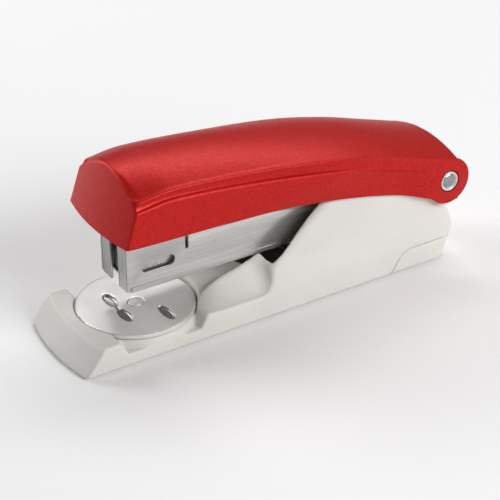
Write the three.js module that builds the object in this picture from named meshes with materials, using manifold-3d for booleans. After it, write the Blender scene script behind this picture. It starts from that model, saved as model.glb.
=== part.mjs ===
// A desktop stapler with a swinging anvil disc, a steel magazine and a pressed top handle.
//
// Millimetres, +Z up. The origin is on the table under the middle of the stapler: X runs along its
// length with the stapling mouth at -X and the pivot at +X, and Y is the symmetry direction.
// Every mesh is one separate physical piece, named as a person would name it.

import * as THREE from 'three';
import { LoftGeometry } from 'three/addons/geometries/LoftGeometry.js';
import { mergeVertices } from 'three/addons/utils/BufferGeometryUtils.js';
import Module from 'manifold-3d';

const wasm = await Module();
wasm.setup();

// ---------------------------------------------------------------- driving dimensions

const GAP = 0.3;                            // air left between two pieces that rest on each other
const HALF_WIDTH = 18;                      // base, across Y
const BASE_BOTTOM = 0.6;                    // the moulded edge hangs this far above the table
const PIVOT = { x: 61, z: 27.1 };           // axis of the one pin that everything swings on
const PIN_RADIUS = 1.6;
const PIN_HOLE = 2.0;                       // radius of every hole that the pin passes through

const DECK_Z = 8.4;                         // flat front deck, and the top of the anvil disc
const DISC = { x: -41, radius: 17.75, thickness: 1.4 };
const DISC_SEAT_Z = 6.0;                    // floor of the round seat under the disc
const NOTCH_Z = 4.5;                        // floor of the finger notches beside the disc
const POCKET_DEPTH = 0.7;                   // of the clinching pockets in the disc
const CLOSING_POCKET = { x: -46.9, y: 4.6, halfLength: 3.9, halfWidth: 1.6 };
const PINNING_POCKET = { x: -36, y: 9.7, halfLength: 4.2, halfWidth: 1.5 };
const WELL_HALF_WIDTH = 9;                  // of the trough between the cheeks, under the magazine
const SHELL_HALF_WIDTH = 13;                // of the hollow inside the housing
const WALL_Y = 15;                          // outer face of the housing's upright walls

const CHASSIS = { bottom: 1.8, thickness: 1.2, halfWidth: 10.6 };
const SCREW_X = [-51, -12];                 // chassis screws, front and rear
const SCREW_HOLE = 1.5;                     // radius of the hole that each screw passes through
const RIVET_HOLE = 1.6;                     // radius of the anvil rivet's hole

const MAGAZINE = { front: -47.3, bottom: 17.6, top: 26.6, halfWidth: 8.2, wall: 0.6 };
const HEAD = { rear: -28.4, top: 33 };      // the tall box at the front of the magazine
const WINDOW = { front: -40.8, rear: -33.8, z: 24.4, radius: 1.9 };
const BLADE_X = -45.6;                      // plane that the staples are driven along
const BLADE_TILT = THREE.MathUtils.degToRad(2.4);
const BLADE = { bottom: 26.4, height: 18.2, width: 12.4, thickness: 0.7 };
const BLADE_RIVET = { y: [-3.5, 3.5], z: 43.1, shank: 0.6, hole: 0.9, head: 1.4 };
const STRIP = { front: -44.4, rear: -8, top: 25.6, halfWidth: 6.45, wire: 0.6, height: 6 };
const RAIL = { front: -44.1, rear: 48, halfWidth: 5.5, top: 24.7, bottom: 18.6 };
const ROD = { radius: 0.9, z: 21.8 };
const COVER = { front: -27.9, rear: 50, bottom: 26.9, top: 31.5, halfWidth: 9.2, wall: 0.7 };
const FRAME = { halfWidth: 10.6, wall: 1, front: -44.8 };
const EAR_RADIUS = 4.4;                     // round ends of the steel pieces about the pin

const HANDLE = { halfWidth: 17.5, wall: 2.2, bottomZ: 37.6, lugRadius: 7.7, rear: 64.7 };
const HANDLE_LEAN = 0.34;                   // how far the front face leans back per mm of height
const LUG_CLEARANCE = 0.6;                  // between the handle's round lugs and the housing

// ---------------------------------------------------------------- materials

function material(color, roughness, metalness) {
  return new THREE.MeshStandardMaterial({ color, roughness, metalness });
}

const FINISH = {
  redPaint: material(0xb2231f, 0.35, 0.35),
  greyPlastic: material(0xd9d7d3, 0.55, 0),
  nickel: material(0xcfcdc9, 0.18, 1),
  brushedSteel: material(0xbebcb8, 0.35, 1),
  springSteel: material(0x8d8f92, 0.3, 1),
  zincSteel: material(0xa9abad, 0.4, 1),
  stapleWire: material(0xc4c4c2, 0.3, 1),
  blackPlastic: material(0x2b2b2d, 0.6, 0),
  rubber: material(0x3a3a3c, 0.9, 0),
};

// ---------------------------------------------------------------- solids: making, joining, cutting

function solid(geometry) {
  const bare = new THREE.BufferGeometry().copy(geometry);
  bare.deleteAttribute('normal');
  bare.deleteAttribute('uv');
  const merged = mergeVertices(bare, 1e-4);
  return new wasm.Manifold(new wasm.Mesh({
    numProp: 3,
    vertProperties: new Float32Array(merged.attributes.position.array),
    triVerts: new Uint32Array(merged.index.array),
  }));
}

function geometryOf(manifold) {
  const mesh = manifold.getMesh();
  const geometry = new THREE.BufferGeometry();
  geometry.setAttribute('position', new THREE.BufferAttribute(mesh.vertProperties, mesh.numProp));
  geometry.setIndex(new THREE.BufferAttribute(mesh.triVerts, 1));
  return geometry;
}

function join(...pieces) {
  return pieces.reduce((whole, piece) => whole.add(piece));
}

function cut(body, ...tools) {
  return tools.reduce((rest, tool) => rest.subtract(tool), body);
}

function outline(points) {
  return new THREE.Shape(points.map(([u, v]) => new THREE.Vector2(u, v)));
}

function extruded(shape, depth, curveSegments) {
  return new THREE.ExtrudeGeometry(shape, { depth, bevelEnabled: false, curveSegments });
}

// An outline drawn in the side view (X to the right, Z up), from y0 to y1.
function sidePlate(shape, y0, y1, curveSegments = 8) {
  const geometry = extruded(shape, y1 - y0, curveSegments);
  geometry.rotateX(Math.PI / 2).translate(0, y1, 0);
  return solid(geometry);
}

// An outline drawn in the plan view (X to the right, Y up), from z0 to z1.
function planPlate(shape, z0, z1, curveSegments = 8) {
  return solid(extruded(shape, z1 - z0, curveSegments).translate(0, 0, z0));
}

// An outline drawn in the end view (Y to the right, Z up), from x0 to x1.
function endPlate(shape, x0, x1, curveSegments = 8) {
  const turn = new THREE.Matrix4().makeBasis(
    new THREE.Vector3(0, 1, 0),
    new THREE.Vector3(0, 0, 1),
    new THREE.Vector3(1, 0, 0),
  );
  return solid(extruded(shape, x1 - x0, curveSegments).applyMatrix4(turn).translate(x0, 0, 0));
}

function block(x0, x1, y0, y1, z0, z1) {
  const box = new THREE.BoxGeometry(x1 - x0, y1 - y0, z1 - z0);
  return solid(box.translate((x0 + x1) / 2, (y0 + y1) / 2, (z0 + z1) / 2));
}

function rodAlongY(radius, y0, y1, x = PIVOT.x, z = PIVOT.z, sides = 20) {
  const rod = new THREE.CylinderGeometry(radius, radius, y1 - y0, sides);
  return solid(rod.translate(x, (y0 + y1) / 2, z));
}

function rodAlongZ(radius, z0, z1, x, y = 0, sides = 24) {
  const rod = new THREE.CylinderGeometry(radius, radius, z1 - z0, sides);
  return solid(rod.rotateX(Math.PI / 2).translate(x, y, (z0 + z1) / 2));
}

function rodAlongX(radius, x0, x1, y, z, sides = 12) {
  const rod = new THREE.CylinderGeometry(radius, radius, x1 - x0, sides);
  return solid(rod.rotateZ(Math.PI / 2).translate((x0 + x1) / 2, y, z));
}

// A turned piece standing on +Z at (x, y). The profile is [radius, height] pairs from axis to axis.
function turned(profile, x, y = 0, sides = 24) {
  const points = profile.map(([radius, height]) => new THREE.Vector2(radius, height));
  return solid(new THREE.LatheGeometry(points, sides).rotateX(Math.PI / 2).translate(x, y, 0));
}

function mirroredInY(piece) {
  return piece.mirror([0, 1, 0]);
}

function bothSides(piece) {
  return join(piece, mirroredInY(piece));
}

// The height, or other value, of a smooth curve through a few [x, value] points.
function smooth(points, x) {
  const last = points.length - 1;
  const slope = (i) => {
    const [before, after] = [points[Math.max(i - 1, 0)], points[Math.min(i + 1, last)]];
    return (after[1] - before[1]) / (after[0] - before[0]);
  };
  let i = 0;
  while (i < last - 1 && x > points[i + 1][0]) i += 1;
  const [x0, v0] = points[i];
  const [x1, v1] = points[i + 1];
  const span = x1 - x0;
  const t = THREE.MathUtils.clamp((x - x0) / span, 0, 1);
  const rise = (3 - 2 * t) * t * t;
  return v0 + (v1 - v0) * rise
    + slope(i) * span * t * (1 - t) * (1 - t)
    - slope(i + 1) * span * t * t * (1 - t);
}

// A solid skinned through end-view outlines: sectionAt(x) gives one half, from low outside to the top.
function lofted(stations, sectionAt) {
  const sections = stations.map((x) => {
    const half = sectionAt(x);
    const other = half.map(([y, z]) => [-y, z]).reverse();
    const ring = half[half.length - 1][0] === 0 ? [...half, ...other.slice(1)] : [...half, ...other];
    return ring.map(([y, z]) => new THREE.Vector3(x, y, z));
  });
  return solid(new LoftGeometry(sections, { capStart: true, capEnd: true }));
}

function stations(from, to, count) {
  return Array.from({ length: count }, (_, i) => THREE.MathUtils.lerp(from, to, i / (count - 1)));
}

// ---------------------------------------------------------------- pieces with a common shape

function ear(y0, y1, radius = EAR_RADIUS) {
  return rodAlongY(radius, y0, y1);
}

function pinHole() {
  return rodAlongY(PIN_HOLE, -HALF_WIDTH - 1, HALF_WIDTH + 1);
}

// A coil spring of round wire, wound about +Z from z0 to z1.
function coil({ radius, wire, turns, z0, z1, stepsPerTurn = 12, sides = 6 }) {
  const points = [];
  const steps = turns * stepsPerTurn;
  for (let i = 0; i <= steps; i += 1) {
    const angle = (i / stepsPerTurn) * Math.PI * 2;
    const z = THREE.MathUtils.lerp(z0 + wire, z1 - wire, i / steps);
    points.push(new THREE.Vector3(radius * Math.cos(angle), radius * Math.sin(angle), z));
  }
  const section = new THREE.Shape(Array.from({ length: sides }, (_, i) => {
    const angle = (i / sides) * Math.PI * 2;
    return new THREE.Vector2(wire * Math.cos(angle), wire * Math.sin(angle));
  }));
  const path = new THREE.CatmullRomCurve3(points);
  return new THREE.ExtrudeGeometry(section, { steps, extrudePath: path, bevelEnabled: false });
}

// ---------------------------------------------------------------- base

const CREASE_Z = [[-70, 7.1], [-27, 7.1], [0, 7.5], [20, 9.5], [45, 9.6], [70, 10]];
const BAND_TOP_Z = [[-3, 16.5], [15, 16.4], [31, 18.2], [46, 18.8], [70, 18]];
const CHEEK_RIDGE_Z = [[-30, 7.8], [-26.5, 9], [-23, 11.8], [-19, 13.8], [-12, 15.6], [-2, 17.8], [4, 19]];
const BASE_FRONT_SLOPE = 0.78;              // how far the front face runs back per mm of height

// The base seen from above: bowed at both ends, with soft rear corners. The outermost outline runs
// a little wide of the side planes, so that it trims the ends and leaves the sides alone.
function basePlan(inset) {
  const side = HALF_WIDTH + 1 - inset;
  const shape = new THREE.Shape();
  shape.moveTo(-66.3 + inset, side);
  shape.quadraticCurveTo(-71.3 + inset, 0, -66.3 + inset, -side);
  shape.lineTo(56 - inset, -side);
  shape.quadraticCurveTo(65 - inset, -side, 66 - inset, -14 + inset);
  shape.quadraticCurveTo(68.4 - inset, 0, 66 - inset, 14 - inset);
  shape.quadraticCurveTo(65 - inset, side, 56 - inset, side);
  return shape;
}

// The plinth: straight skirt, flat front deck and a sloping bowed nose.
function plinthOuter() {
  const shear = new THREE.Matrix4().makeShear(0, 0, 0, 0, BASE_FRONT_SLOPE, 0);
  const nose = extruded(basePlan(0), 12, 10).applyMatrix4(shear).translate(0, 0, BASE_BOTTOM);
  const skirt = lofted([-72, -20], () => [
    [HALF_WIDTH, BASE_BOTTOM], [HALF_WIDTH, DECK_Z - 1], [HALF_WIDTH - 0.8, DECK_Z],
  ]);
  return solid(nose).intersect(skirt);
}

// The two cheeks beside the magazine, hollowed flanks that climb from the side border to a ridge.
function cheeksOuter() {
  return lofted([-27.5, -25.2, -23, -20, -15, -10, -5, -0.5], (x) => {
    const border = smooth(CREASE_Z, x) + 0.9;
    const ridge = smooth(CHEEK_RIDGE_Z, x);
    const flank = [17, 15, 13, 11, 9.6].map((y) => {
      const climb = (17 - y) / (17 - 9.6);
      return [y, border + (ridge - border) * Math.pow(climb, 1.3)];
    });
    return [[HALF_WIDTH, BASE_BOTTOM], [HALF_WIDTH, border - 0.9], ...flank, [0, ridge]];
  });
}

// The rear housing: skirt, flared band and upright walls that disappear inside the handle.
function housingOuter() {
  const body = lofted([-3, 0, 8, 16, 31, 46, 70], (x) => {
    const crease = smooth(CREASE_Z, x);
    const band = smooth(BAND_TOP_Z, x);
    return [
      [HALF_WIDTH, BASE_BOTTOM], [HALF_WIDTH, crease], [WALL_Y + 1.6, band - 2], [WALL_Y + 0.6, band],
      [WALL_Y, band + 1.5], [WALL_Y, 33],
    ];
  });
  const side = outline([
    [-3.4, BASE_BOTTOM], [-3.2, 15.7], [5.6, 23.5], [15.2, 32.1], [17.5, 32.4], [40, 31.2], [51, 29.5],
    [57.5, 29.5], [59.5, 30.6], [61, 30.8], [61, 19.1], [64.4, 19.1], [65.8, 16], [67.4, 10.7],
    [66.6, 7.4], [64.2, BASE_BOTTOM],
  ]);
  const plan = planPlate(basePlan(0), 0, 40);
  const relief = rodAlongY(HANDLE.lugRadius + LUG_CLEARANCE, -20, 20, PIVOT.x, PIVOT.z, 40)
    .intersect(block(61.2, 75, -20, 20, 10, 40));
  const lugRelief = rodAlongY(HANDLE.lugRadius + LUG_CLEARANCE, 15.2, 20, PIVOT.x, PIVOT.z, 40);
  return cut(
    body.intersect(sidePlate(side, -HALF_WIDTH, HALF_WIDTH)).intersect(plan),
    relief,
    bothSides(lugRelief),
  );
}

// The heel line: a separate bumper wraps the lower rear corners.
function heelZone(gap) {
  const top = 7.6 + gap;
  const side = outline([[39.4 - gap, 0], [43 - gap, 6.4], [45.6, top], [80, top], [80, 0]]);
  const wrap = sidePlate(side, -30, 30);
  return cut(wrap, block(0, 62 - gap, -16.3 + gap, 16.3 - gap, -1, 20));
}

function baseOuter() {
  return join(plinthOuter(), cheeksOuter(), housingOuter());
}

function baseCover(outer) {
  const seat = rodAlongZ(DISC.radius + 0.4, DISC_SEAT_Z, 12, DISC.x, 0, 64);
  const notch = sidePlate(
    outline([[-56, 10.5], [-52.9, NOTCH_Z], [-29.4, NOTCH_Z], [-26.3, 10.5]]), -30, 30,
  );
  const pedestal = rodAlongZ(DISC.radius - 0.3, 0, DISC_SEAT_Z, DISC.x, 0, 64);
  const frontPocket = planPlate(basePlan(6), -1, 3.4).intersect(block(-80, -18, -30, 30, -1, 10));
  const underDisc = rodAlongZ(14, -1, DISC_SEAT_Z - 1.4, DISC.x, 0, 32);
  const underDeck = block(-26, 2, -15.5, 15.5, -1, 6);
  const magazineWell = sidePlate(
    outline([[-28, DECK_Z], [-22, 9.8], [-12, 11.1], [2, 12.2], [2, 40], [-28, 40]]),
    -WELL_HALF_WIDTH, WELL_HALF_WIDTH,
  );
  const hollow = block(-0.8, 59, -SHELL_HALF_WIDTH, SHELL_HALF_WIDTH, -1, 40);
  const hollowLow = block(-0.8, 59, -15.2, 15.2, -1, 6.4);
  const aroundPin = block(50, 90, -SHELL_HALF_WIDTH, SHELL_HALF_WIDTH, 18.9, 40);
  const bossFoot = CHASSIS.bottom + CHASSIS.thickness + GAP;
  const frontBoss = rodAlongZ(3, bossFoot, 5.5, SCREW_X[0], 0, 20);
  const rearBoss = rodAlongZ(3, bossFoot, 6.6, SCREW_X[1], 0, 20);
  const shell = cut(
    outer, cut(notch, pedestal), seat, frontPocket, underDisc, underDeck, magazineWell, hollow,
    hollowLow, aroundPin, heelZone(GAP), pinHole(),
  );
  const screwHoles = SCREW_X.map((x) => rodAlongZ(SCREW_HOLE, -1, 5.4, x, 0, 12));
  const rivetHole = rodAlongZ(RIVET_HOLE, -1, 12, DISC.x, 0, 16);
  return cut(join(shell, frontBoss, rearBoss), ...screwHoles, rivetHole);
}

// A pressed steel plate along the base, with two tall ears that carry the pivot pin.
function chassisPlate() {
  const { bottom, thickness, halfWidth } = CHASSIS;
  const top = bottom + thickness;
  const floor = block(-58, 58, -halfWidth - 1.4, halfWidth + 1.4, bottom, top);
  const earSide = outline([[45, bottom], [58, bottom], [58.4, 19.4], [63.5, 24.5], [58, 28], [50, 14]]);
  const upright = join(
    sidePlate(earSide, halfWidth + 0.4, halfWidth + 1.4),
    ear(halfWidth + 0.4, halfWidth + 1.4, 3.9),
  );
  const screwHoles = SCREW_X.map((x) => rodAlongZ(SCREW_HOLE, 0, 5, x, 0, 12));
  const rivetHole = rodAlongZ(RIVET_HOLE, 0, 5, DISC.x, 0, 16);
  return cut(join(floor, bothSides(upright)), pinHole(), ...screwHoles, rivetHole);
}

function rearHeel(outer) {
  return outer.intersect(heelZone(0));
}

function footPad(x0, x1) {
  const shape = outline([[x0 + 2, -12], [x1 - 2, -12], [x1, -10], [x1, 10], [x1 - 2, 12], [x0 + 2, 12],
    [x0, 10], [x0, -10]]);
  return planPlate(shape, 0, CHASSIS.bottom - GAP);
}

function chassisScrew(x) {
  const head = CHASSIS.bottom - GAP;
  const body = turned([[0, 0.5], [2.2, 0.5], [2.6, 0.9], [2.6, head], [1.2, head], [1.2, 4.7], [0, 5]], x);
  return cut(body, block(x - 1.8, x + 1.8, -0.3, 0.3, 0, 0.9), block(x - 0.3, x + 0.3, -1.8, 1.8, 0, 0.9));
}

// ---------------------------------------------------------------- anvil

// A pair of pockets shaped like leaves, pointed at both ends in Y, one on each side.
function leafPockets({ x, y, halfLength, halfWidth }) {
  const shape = new THREE.Shape();
  shape.moveTo(x, y - halfLength);
  shape.quadraticCurveTo(x + 2 * halfWidth, y, x, y + halfLength);
  shape.quadraticCurveTo(x - 2 * halfWidth, y, x, y - halfLength);
  return bothSides(planPlate(shape, DECK_Z - POCKET_DEPTH, DECK_Z + 1, 6));
}

function anvilPlate() {
  const { x, radius, thickness } = DISC;
  const bottom = DECK_Z - thickness;
  const plate = turned([[0, bottom], [radius - 0.1, bottom], [radius, bottom + 0.1], [radius, DECK_Z - 0.2],
    [radius - 0.2, DECK_Z], [0, DECK_Z]], x, 0, 64);
  const rivetSeat = turned([[0, bottom - 1], [RIVET_HOLE, bottom - 1], [RIVET_HOLE, DECK_Z - 0.9],
    [2.5, DECK_Z - 0.9], [2.5, DECK_Z + 1], [0, DECK_Z + 1]], x);
  return cut(plate, leafPockets(CLOSING_POCKET), leafPockets(PINNING_POCKET), rivetSeat);
}

function anvilRivet() {
  const top = DECK_Z;
  return turned([[0, 1], [2.1, 1], [2.1, 1.5], [1.25, 1.5], [1.25, top - 0.6], [2.15, top - 0.6],
    [2.15, top - 0.1], [2, top], [0, top]], DISC.x);
}

function anvilSpringWasher() {
  const z = DISC_SEAT_Z + GAP;
  return turned([[2, z], [5.5, z], [5.5, z + 0.35], [2, z + 0.35], [2, z]], DISC.x);
}

// ---------------------------------------------------------------- pivot pin

function pivotPin() {
  const profile = [[0, -17.55], [2.1, -17.5], [2.9, -17.1], [3.2, -17.3], [3.2, -16.6], [PIN_RADIUS, -16.6],
    [PIN_RADIUS, 16.4], [0, 16.4]];
  const points = profile.map(([radius, y]) => new THREE.Vector2(radius, y));
  return solid(new THREE.LatheGeometry(points, 24).translate(PIVOT.x, 0, PIVOT.z));
}

function pivotPinCap() {
  const profile = [[0, 17.55], [2.1, 17.5], [2.9, 17.1], [3.2, 17.3], [3.2, 16.7], [0, 16.7], [0, 17.55]];
  const points = profile.map(([radius, y]) => new THREE.Vector2(radius, y)).reverse();
  return solid(new THREE.LatheGeometry(points, 24).translate(PIVOT.x, 0, PIVOT.z));
}

// ---------------------------------------------------------------- magazine

// A steel trough with a tall head, a view window on each side and ears on the pivot pin.
function magazineChannel() {
  const { front, bottom, top, halfWidth, wall } = MAGAZINE;
  const side = outline([[front, bottom], [front, HEAD.top], [HEAD.rear, HEAD.top], [HEAD.rear, top],
    [54, top], [61, 31.4], [61, 22.7], [56, bottom]]);
  const body = join(sidePlate(side, -halfWidth, halfWidth), ear(-halfWidth, halfWidth));
  const inside = halfWidth - wall;
  const trough = block(front - 1, 80, -inside, inside, bottom + 0.7, 50);
  const rearCut = block(54, 80, -inside, inside, 0, 50);
  const exit = block(front - 1, BLADE_X + 1, -inside, inside, 0, 50);
  const bead = sidePlate(outline([[-46.3, bottom], [7, bottom], [7, bottom + 1], [-46.3, bottom + 1.6]]),
    halfWidth - 0.1, halfWidth + 0.4);
  const windowShape = new THREE.Shape();
  windowShape.absarc(WINDOW.rear, WINDOW.z, WINDOW.radius, -Math.PI / 2, Math.PI / 2, false);
  windowShape.absarc(WINDOW.front, WINDOW.z, WINDOW.radius, Math.PI / 2, Math.PI * 1.5, false);
  const window = sidePlate(windowShape, -20, 20, 8);
  return cut(join(cut(body, trough, rearCut, exit), bothSides(bead)), window, pinHole());
}

// Two folded flanges at the mouth guide the blade and the staple, with a slot between them.
function frontGuide() {
  const { front } = MAGAZINE;
  const flange = outline([[front, 17.2], [front, 32.6], [front + 4.2, 32.6], [front + 4.2, 18.7],
    [front + 2.2, 18.7], [front + 0.8, 17.2]]);
  const body = sidePlate(flange, -7.2, 7.2);
  const inside = block(front + 0.8, 0, -6.7, 6.7, 0, 50);
  const slot = block(front - 1, 0, -2.35, 2.35, 0, 50);
  return cut(body, inside, slot.intersect(block(front - 1, 0, -3, 3, 0, 31.6)));
}

// The rail inside the trough that the staples straddle.
function stapleRail() {
  const { front, rear, halfWidth, top, bottom } = RAIL;
  const section = outline([[-halfWidth, bottom], [halfWidth, bottom], [halfWidth, top],
    [halfWidth - 0.8, top], [halfWidth - 0.8, bottom + 0.8], [-halfWidth + 0.8, bottom + 0.8],
    [-halfWidth + 0.8, top], [-halfWidth, top]]);
  const frontWall = block(front, front + 1, -halfWidth + 0.2, halfWidth - 0.2, bottom + 0.2, top);
  return cut(join(endPlate(section, front, rear), frontWall), rodAlongX(ROD.radius + GAP, -60, 60, 0, ROD.z));
}

function pusherRod() {
  return rodAlongX(ROD.radius, RAIL.front - 0.1, RAIL.rear - 1.2, 0, ROD.z);
}

function rodEndBlock() {
  const inside = RAIL.halfWidth - 0.8 - GAP;
  const body = block(RAIL.rear - 5, RAIL.rear, -inside, inside, RAIL.bottom + 1.1, RAIL.top);
  return cut(body, rodAlongX(ROD.radius + GAP, RAIL.rear - 6, RAIL.rear - 0.8, 0, ROD.z));
}

// A stick of staples: an inverted trough, grooved where one staple is glued to the next.
function stapleStrip() {
  const { front, rear, top, halfWidth, wire, height } = STRIP;
  const section = outline([[-halfWidth, top - height], [-halfWidth + wire, top - height],
    [-halfWidth + wire, top - wire], [halfWidth - wire, top - wire], [halfWidth - wire, top - height],
    [halfWidth, top - height], [halfWidth, top - 0.3], [halfWidth - 0.3, top], [-halfWidth + 0.3, top],
    [-halfWidth, top - 0.3]]);
  const stick = endPlate(section, front, rear);
  const pitch = 1.4;
  const grooves = [];
  for (let x = front + pitch; x < rear - 0.5; x += pitch) {
    grooves.push(
      block(x - 0.12, x + 0.12, halfWidth - 0.12, 9, 0, 40),
      block(x - 0.12, x + 0.12, -9, -halfWidth + 0.12, 0, 40),
    );
  }
  return cut(stick, ...grooves);
}

function pusher() {
  const x0 = STRIP.rear + GAP;
  const x1 = x0 + 13;
  const { halfWidth, wire, top } = STRIP;
  const saddle = endPlate(outline([[-halfWidth, 20], [-halfWidth + wire, 20], [-halfWidth + wire, top - wire],
    [halfWidth - wire, top - wire], [halfWidth - wire, 20], [halfWidth, 20], [halfWidth, top],
    [-halfWidth, top]]), x0, x1);
  const runner = block(x0 + 1, x1 - 2, -4.3, 4.3, 19.8, top - 0.1);
  return cut(join(saddle, runner), rodAlongX(ROD.radius + GAP, x0 - 1, x1 + 1, 0, ROD.z));
}

function pusherSpring() {
  const spring = coil({ radius: 1.75, wire: 0.28, turns: 16, z0: 5.7 - GAP, z1: 42.7, stepsPerTurn: 9,
    sides: 4 });
  return spring.rotateY(Math.PI / 2).translate(0, 0, ROD.z);
}

function liftSpring() {
  const leaf = outline([[30, 3.3], [21, 3.3], [4, 15.7], [-1, 16.7], [-1, 17.3], [4.3, 16.4], [21.3, 3.9],
    [30, 3.9]]);
  return sidePlate(leaf, -4.5, 4.5);
}

// ---------------------------------------------------------------- magazine cover

// The hinged steel cover over the trough. It swings up with the handle for loading.
function magazineCover() {
  const { front, rear, bottom, top, halfWidth, wall } = COVER;
  const side = outline([[front, bottom], [front, top], [rear, top], [61, 31.4], [61, 22.7], [52, bottom]]);
  const body = join(sidePlate(side, -halfWidth, halfWidth), ear(-halfWidth, halfWidth));
  const inside = halfWidth - wall;
  const under = block(front - 1, 80, -inside, inside, 0, top - wall);
  const rearCut = block(rear, 80, -inside, inside, 0, 50);
  return cut(body, under, rearCut, pinHole());
}

function handleSpring() {
  const spring = coil({ radius: 3.4, wire: 0.45, turns: 6, z0: COVER.top + GAP, z1: 44.6 });
  return spring.translate(-12, 0, 0);
}

// ---------------------------------------------------------------- handle

const CREST_Z = [[-58, 54.4], [-48, 55.2], [-34, 55.6], [-11, 53.9], [17, 49.5], [35, 45.5], [49, 41.3],
  [64.7, 36.6]];
const DOME_EDGE_Z = [[-58, 49.6], [-47, 50.4], [-36, 51.6], [-8.4, 49.6], [17, 46.3], [36, 42], [49.3, 38],
  [64.7, 33.3]];
const DOME_EDGE_Y = [[-58, 15.2], [-8.4, 15.3], [28, 16.4], [64.7, 16.5]];
const PANEL_TOP_Z = [[-58, 47], [-48.5, 48], [-36.6, 49.2], [-9, 46.6], [17, 42.6], [36, 38.6], [64.7, 30]];
const BOTTOM_Z = [[-58, 37.9], [-44.7, 37.1], [-21.7, 36.5], [0, 35], [22.7, 31.6], [44, 26.5], [61, 20.2]];

function handlePlan(inset) {
  const side = HANDLE.halfWidth + 7.5;
  const shape = new THREE.Shape();
  shape.moveTo(-49.6 + inset, side);
  shape.quadraticCurveTo(-57.8 + inset, 0, -49.6 + inset, -side);
  shape.lineTo(90, -side);
  shape.lineTo(90, side);
  return shape;
}

// Everything behind the leaning, bowed front face.
function handleLimits(inset) {
  const shear = new THREE.Matrix4().makeShear(0, 0, 0, 0, HANDLE_LEAN, 0);
  const geometry = extruded(handlePlan(inset), 60, 10).translate(0, 0, -20).applyMatrix4(shear);
  return solid(geometry.translate(0, 0, HANDLE.bottomZ));
}

function domeArc(edgeY, edgeZ, crestZ, count) {
  return Array.from({ length: count }, (_, i) => {
    const y = edgeY * (1 - i / (count - 1));
    return [y, crestZ - (crestZ - edgeZ) * (y / edgeY) ** 2];
  });
}

function handleOuterSection(x) {
  const bottom = smooth(BOTTOM_Z, x);
  const panel = smooth(PANEL_TOP_Z, x);
  const edgeY = smooth(DOME_EDGE_Y, x);
  const edgeZ = smooth(DOME_EDGE_Z, x);
  const band = (edgeY + HANDLE.halfWidth) / 2;
  return [[HANDLE.halfWidth, bottom], [HANDLE.halfWidth, panel - 0.8], [band, panel + 0.2],
    [band - 0.1, edgeZ - 0.7], ...domeArc(edgeY, edgeZ, smooth(CREST_Z, x), 7)];
}

function handleInnerSection(x) {
  const { halfWidth, wall } = HANDLE;
  const edgeZ = smooth(DOME_EDGE_Z, x) - wall;
  const edgeY = smooth(DOME_EDGE_Y, x) - wall;
  return [[halfWidth - wall, 0], [halfWidth - wall, smooth(PANEL_TOP_Z, x) - 3],
    ...domeArc(edgeY, edgeZ, smooth(CREST_Z, x) - wall, 5)];
}

function handleShell() {
  const { halfWidth, wall, lugRadius, rear } = HANDLE;
  const skin = lofted(stations(-58, rear, 14), handleOuterSection).intersect(handleLimits(0));
  const lugs = rodAlongY(lugRadius, -halfWidth, halfWidth, PIVOT.x, PIVOT.z, 40);
  const cavity = lofted(stations(-58, rear - wall, 10), handleInnerSection).intersect(handleLimits(wall));
  const pinSpace = rodAlongY(lugRadius - wall, -halfWidth + wall, halfWidth - wall, PIVOT.x, PIVOT.z, 32);
  const rearMouth = block(50, 80, -halfWidth + wall, halfWidth - wall, 0, PIVOT.z + 1.5);
  const headSeat = rodAlongY(3.6, halfWidth - 1.2, halfWidth + 1, PIVOT.x, PIVOT.z, 24);
  return cut(join(skin, lugs), cavity, pinSpace, rearMouth, bothSides(headSeat), pinHole());
}

function bladeRivetHoles() {
  const { y, z, hole } = BLADE_RIVET;
  return y.map((across) => rodAlongX(hole, FRAME.front - 5, FRAME.front + 5, across, z));
}

// The steel arm inside the handle that carries the blade and takes the force of the stroke.
function strikerFrame() {
  const { halfWidth, wall, front } = FRAME;
  const side = outline([[front, 33.6], [front, 46.3], [-10, 46], [16, 42.8], [45, 36.3], [58, 31.2],
    [61, 31.4], [61, 22.7], [20, 28], [0, 31.2]]);
  const body = join(sidePlate(side, -halfWidth, halfWidth), ear(-halfWidth, halfWidth));
  const underside = outline([[front - 1, 0], [front - 1, 45.3], [-10, 45], [16, 41.8], [45, 35.3],
    [51, 33], [51, 29], [80, 29], [80, 0]]);
  const inside = halfWidth - wall;
  const hollow = join(sidePlate(underside, -inside, inside), block(51, 80, -inside, inside, 0, 50));
  const nose = block(front + 0.9, front + 2, -6.5, 6.5, 36.3, 46);
  return cut(join(cut(body, hollow), nose), pinHole(), ...bladeRivetHoles());
}

// The hardened driver that pushes one staple out at each stroke. It hangs with a slight lean.
function strikerBlade() {
  const { bottom, height, width, thickness } = BLADE;
  const geometry = new THREE.BoxGeometry(thickness, width, height).translate(0, 0, height / 2);
  const blade = solid(geometry.rotateY(BLADE_TILT).translate(BLADE_X, 0, bottom));
  return cut(blade, ...bladeRivetHoles());
}

function bladeRivet(y) {
  const { z, shank, head } = BLADE_RIVET;
  const x = FRAME.front;
  return join(
    rodAlongX(shank, x - 1.3, x + 2.6, y, z),
    rodAlongX(head, x - 1.9, x - 1.2, y, z),
    rodAlongX(head, x + 2.3, x + 2.9, y, z),
  );
}

// ---------------------------------------------------------------- assembly

const stapler = new THREE.Group();

function place(name, shape, finish) {
  const geometry = shape.isBufferGeometry ? shape : geometryOf(shape);
  const mesh = new THREE.Mesh(geometry, finish);
  mesh.name = name;
  stapler.add(mesh);
}

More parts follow.
